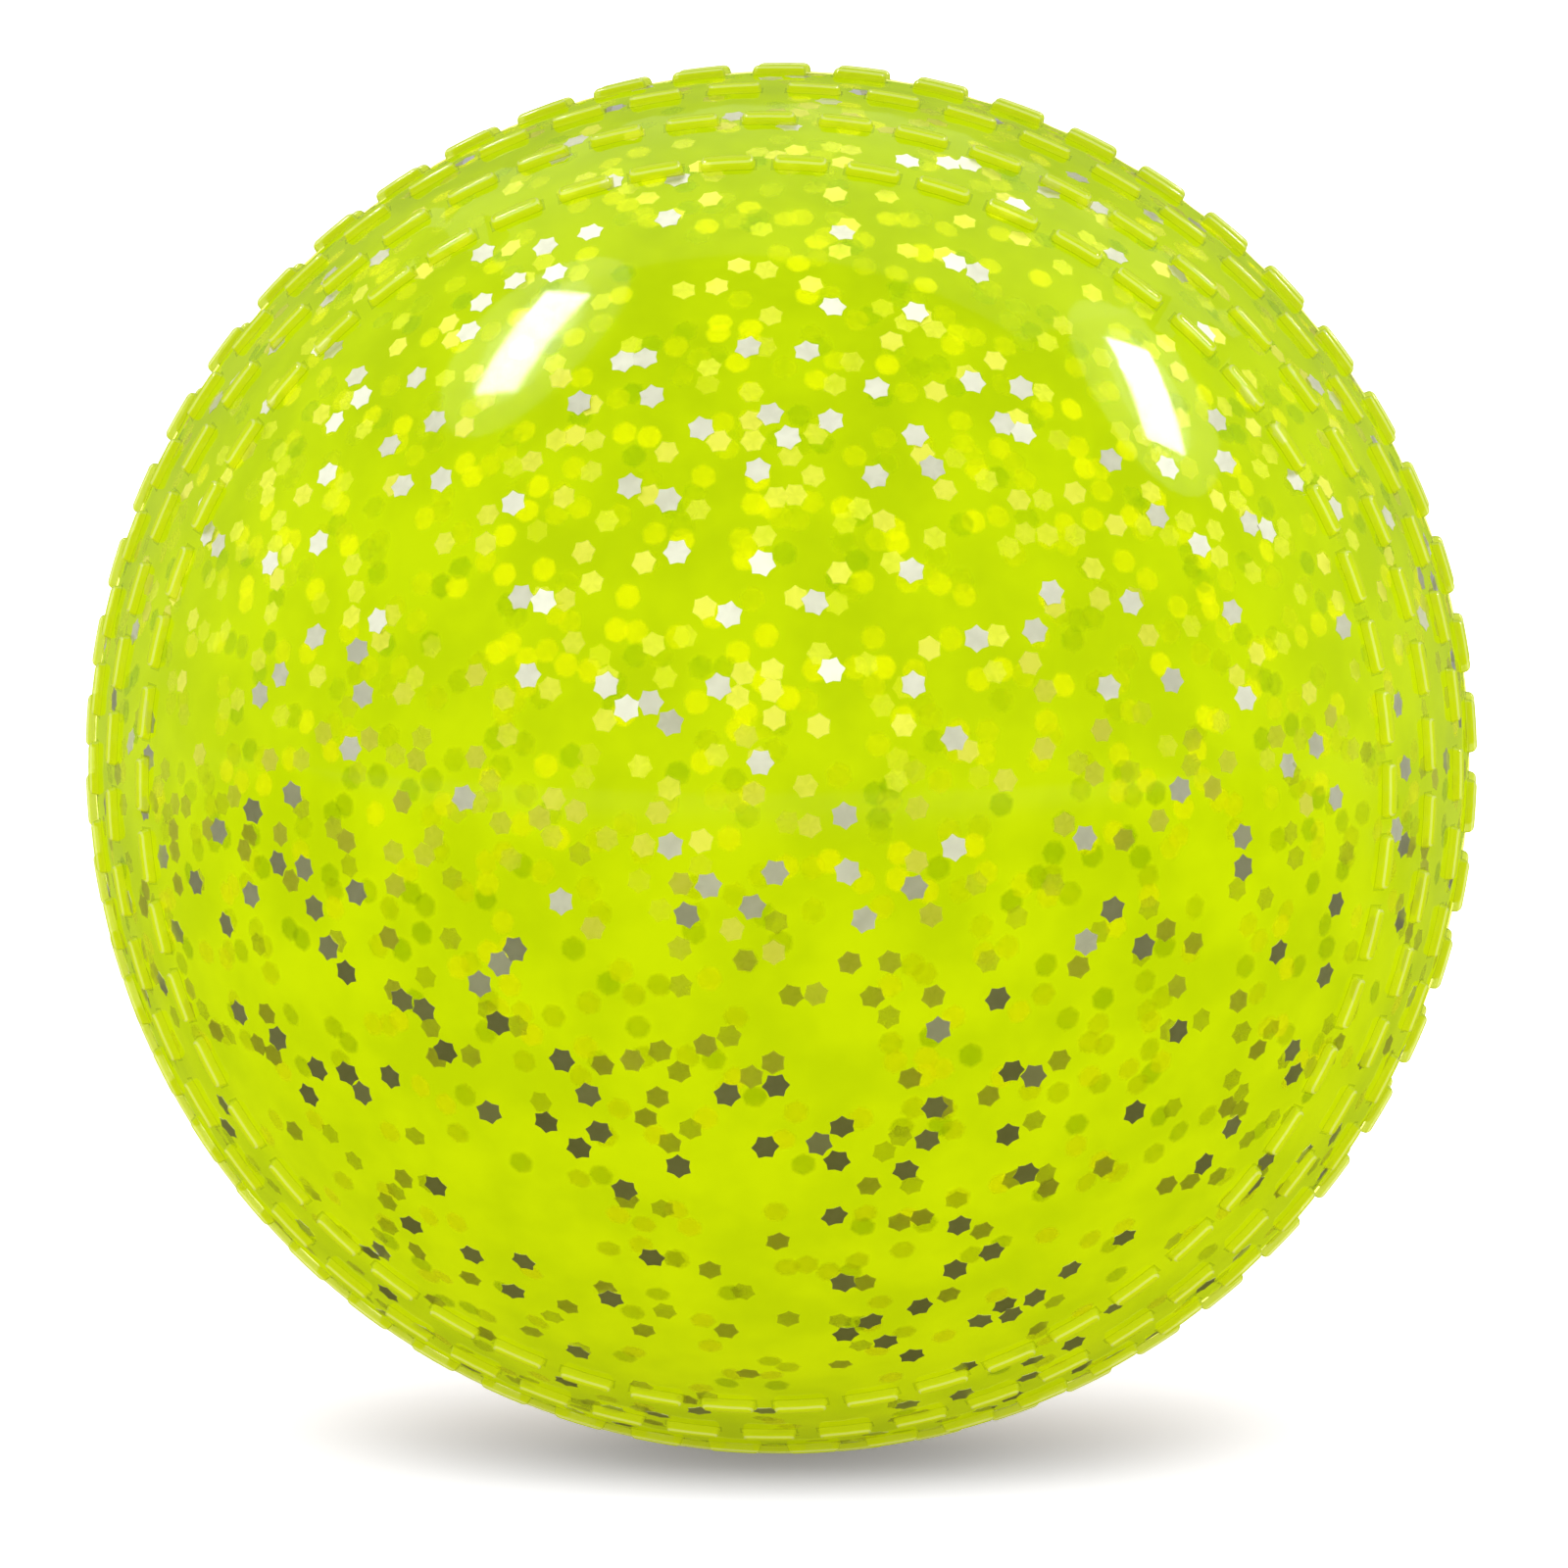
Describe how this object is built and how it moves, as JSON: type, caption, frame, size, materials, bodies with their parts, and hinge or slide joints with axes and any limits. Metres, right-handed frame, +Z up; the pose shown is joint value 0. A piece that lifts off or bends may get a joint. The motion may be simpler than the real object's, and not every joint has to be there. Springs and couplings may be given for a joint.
{
  "type": "cricket wind ball",
  "caption": "Hollow soft PVC cricket ball for practice play, air filled, with staggered rows of moulded raised stitches beside its seam and a flush air plug.",
  "frame": {"origin": "the ball's centre, in the seam plane", "axes": "+Z up; the seam lies in the XZ plane, so the ball stands on its seam; the axis through the two smooth caps is Y, and the front cap faces -Y"},
  "size_m": [0.0718, 0.071, 0.0718],
  "materials": {
    "shell_pvc": "glossy soft PVC, translucent yellow green, filled with silver glitter",
    "cement": "cured clear PVC cement",
    "plug_pvc": "satin soft PVC, yellow green"
  },
  "bodies": {
    "root": {"front_half_shell": "shell_pvc", "rear_half_shell": "shell_pvc", "cement_ring": "cement", "air_plug": "plug_pvc"}
  },
  "joints": []
}
